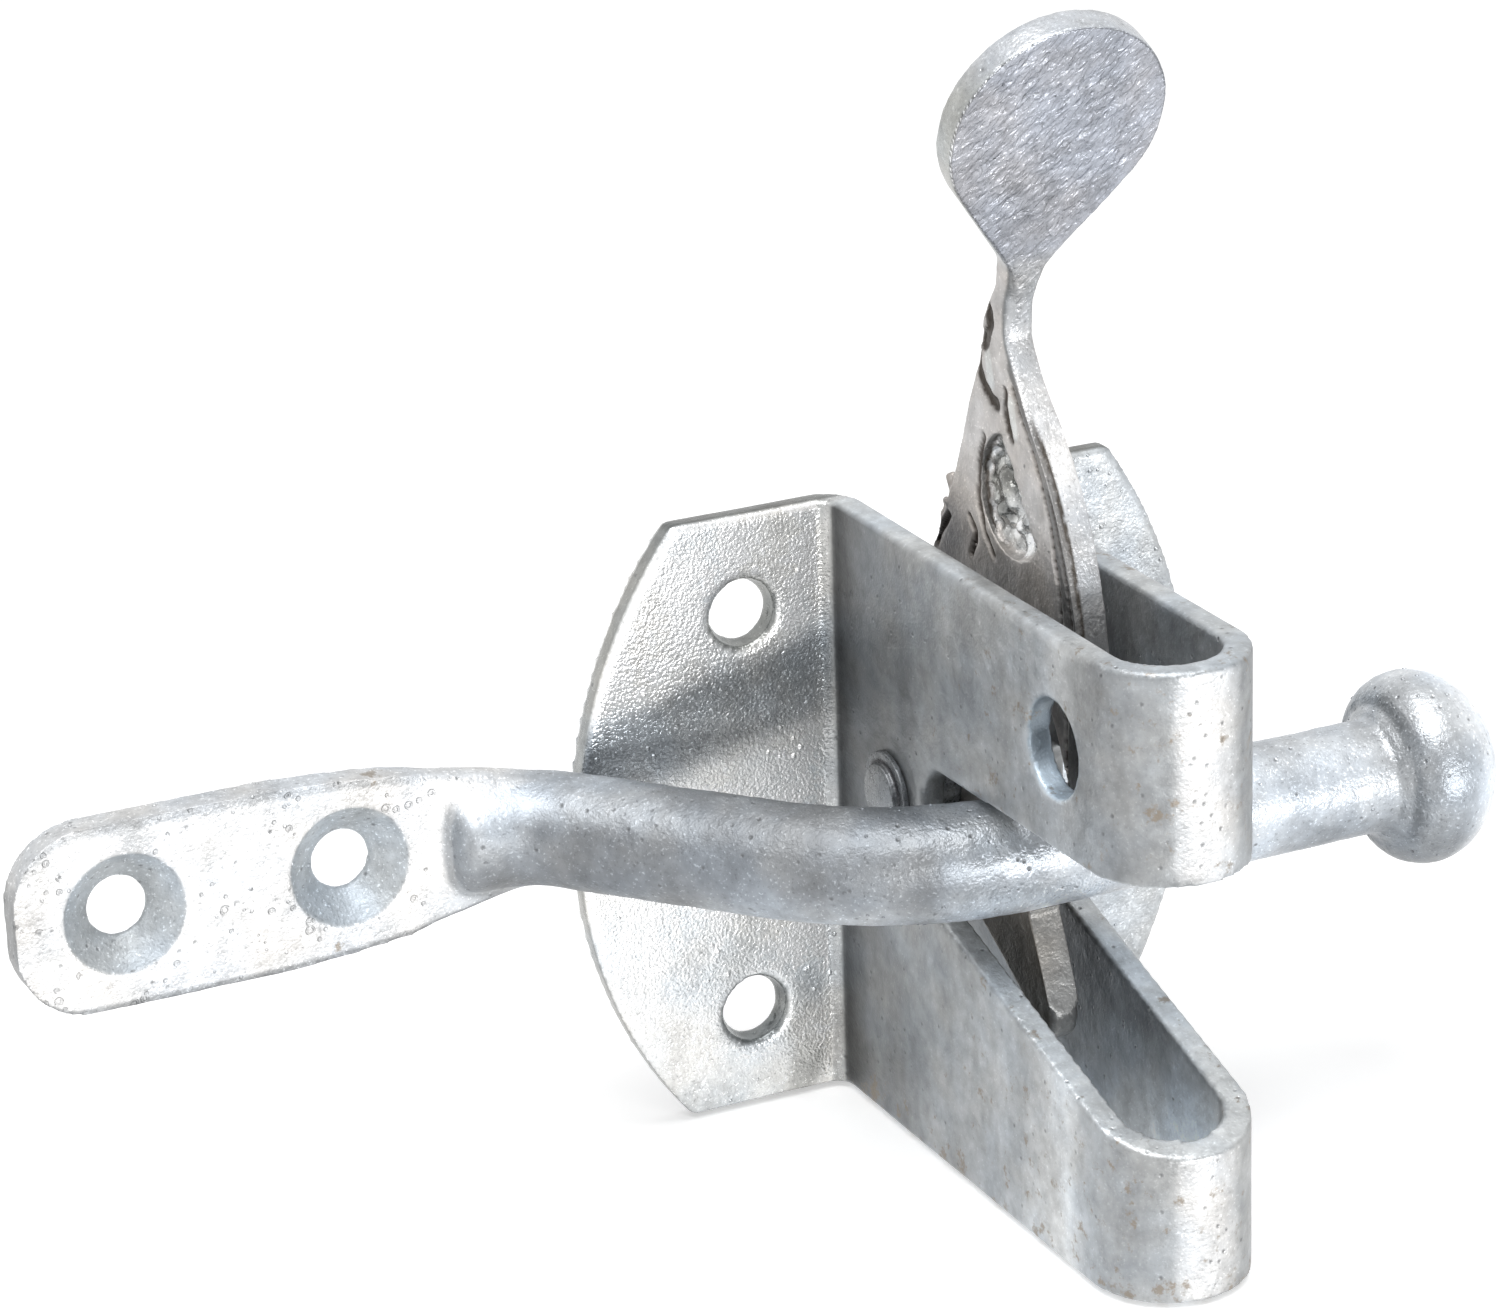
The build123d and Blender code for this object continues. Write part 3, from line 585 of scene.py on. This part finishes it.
# The countersinks are blue-grey: painted shade and reflection.
from_hole = np.minimum(np.hypot(x + 93.5, z - palm_screw_height), np.hypot(x + 68.5, z - palm_screw_height))
tint = blend(tint, fade(from_hole, 6.9, 6.4), (0.42, 0.45, 0.475))
rust = 0.65 * np.maximum(fade(np.hypot(x + 64.5, z - 15.5), 3.0, 0.5), fade(np.hypot(x + 70.5, z + 2.8), 3.0, 0.5))
bubbled = fade(waves(x, z, 10.0, 43), -0.2, 0.5)
rough = blend(np.interp(x, [-25.0, -12.0], [0.50, 0.34]), palm_face, 0.45)
grain = blend(np.full(len(x), 0.7), palm_face, 1.0)
pits = blend(np.full(len(x), 0.42), palm_face, 0.85 * bubbled)
paint(striker_bar, tint, rough, grain, pits, rust)
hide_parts("striker_bar")
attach(striker_bar, "striker")

# Studio
# A plain white floor and white surroundings, one low and wide strip lamp in front
# and one broad lamp overhead. The camera stands where the photographer stood.


def seen_directly(tree):
    """1 where a surface is seen, also in a reflection or through something, and 0 where it only sheds light."""
    ray = add(tree, "ShaderNodeLightPath").outputs
    straight = maths(tree, "ADD", ray["Is Camera Ray"], ray["Is Glossy Ray"])
    return maths(tree, "ADD", straight, ray["Is Transmission Ray"], clamp=True)


floor_mesh = bpy.data.meshes.new("floor")
reach = 6.0
floor_height = cad_box[0].z - 0.0004
floor_mesh.from_pydata([(-reach, -reach, floor_height), (reach, -reach, floor_height), (reach, reach, floor_height),
                        (-reach, reach, floor_height)], [], [(0, 1, 2, 3)])
floor = bpy.data.objects.new("floor", floor_mesh)
bpy.context.scene.collection.objects.link(floor)
floor_paint = bpy.data.materials.new("floor_white")
floor_paint.use_nodes = True
paint_tree = floor_paint.node_tree
paint_shader = paint_tree.nodes["Principled BSDF"]
paint_shader.inputs["Base Color"].default_value = (0.86, 0.86, 0.86, 1)
paint_shader.inputs["Roughness"].default_value = 0.9
paint_shader.inputs["Emission Color"].default_value = (1, 1, 1, 1)
floor_glow = maths(paint_tree, "MULTIPLY", seen_directly(paint_tree), 0.4)
paint_tree.links.new(floor_glow, paint_shader.inputs["Emission Strength"])
floor_mesh.materials.append(floor_paint)

world = bpy.data.worlds.new("white_surround")
bpy.context.scene.world = world
world.use_nodes = True
sky = world.node_tree
backdrop = sky.nodes["Background"]
backdrop.inputs["Color"].default_value = (1, 1, 1, 1)
sky.links.new(maths(sky, "MULTIPLY_ADD", seen_directly(sky), 0.5, 0.5), backdrop.inputs["Strength"])

for lamp_name, place, target, width, height, watts in (
    ("front_lamp", (0.12, -1.0, 0.0), (0.0, -0.03, 0.0), 0.8, 0.06, 3.8),
    ("top_lamp", (-0.2, -0.3, 0.9), (0.0, -0.03, 0.0), 0.7, 0.7, 7.0),
):
    lamp = bpy.data.lights.new(lamp_name, "AREA")
    lamp.shape = "RECTANGLE"
    lamp.size = width
    lamp.size_y = height
    lamp.energy = watts
    holder = bpy.data.objects.new(lamp_name, lamp)
    bpy.context.scene.collection.objects.link(holder)
    aim = (Vector(target) - Vector(place)).to_track_quat("-Z", "Y")
    holder.matrix_world = Matrix.Translation(place) @ aim.to_matrix().to_4x4()

turn, rise, roll = (math.radians(v) for v in (-25.133, 20.526, -1.911))
back = Vector((math.sin(turn) * math.cos(rise), -math.cos(turn) * math.cos(rise), math.sin(rise)))
level = Vector((math.cos(turn), math.sin(turn), 0))
plumb = back.cross(level)
right = math.cos(roll) * level + math.sin(roll) * plumb
up = math.cos(roll) * plumb - math.sin(roll) * level
camera = bpy.data.objects.new("camera", bpy.data.cameras.new("camera"))
bpy.context.scene.collection.objects.link(camera)
camera.data.sensor_fit = "HORIZONTAL"
camera.data.sensor_width = 36.0
camera.data.lens = 123.25
camera.data.clip_start = 0.01
spot = right * -0.016300 + up * 0.013035 + back * 0.577388
camera.matrix_world = Matrix.Translation(spot) @ Matrix((right, up, back)).transposed().to_4x4()
bpy.context.scene.camera = camera
bpy.context.scene.view_settings.view_transform = "Standard"
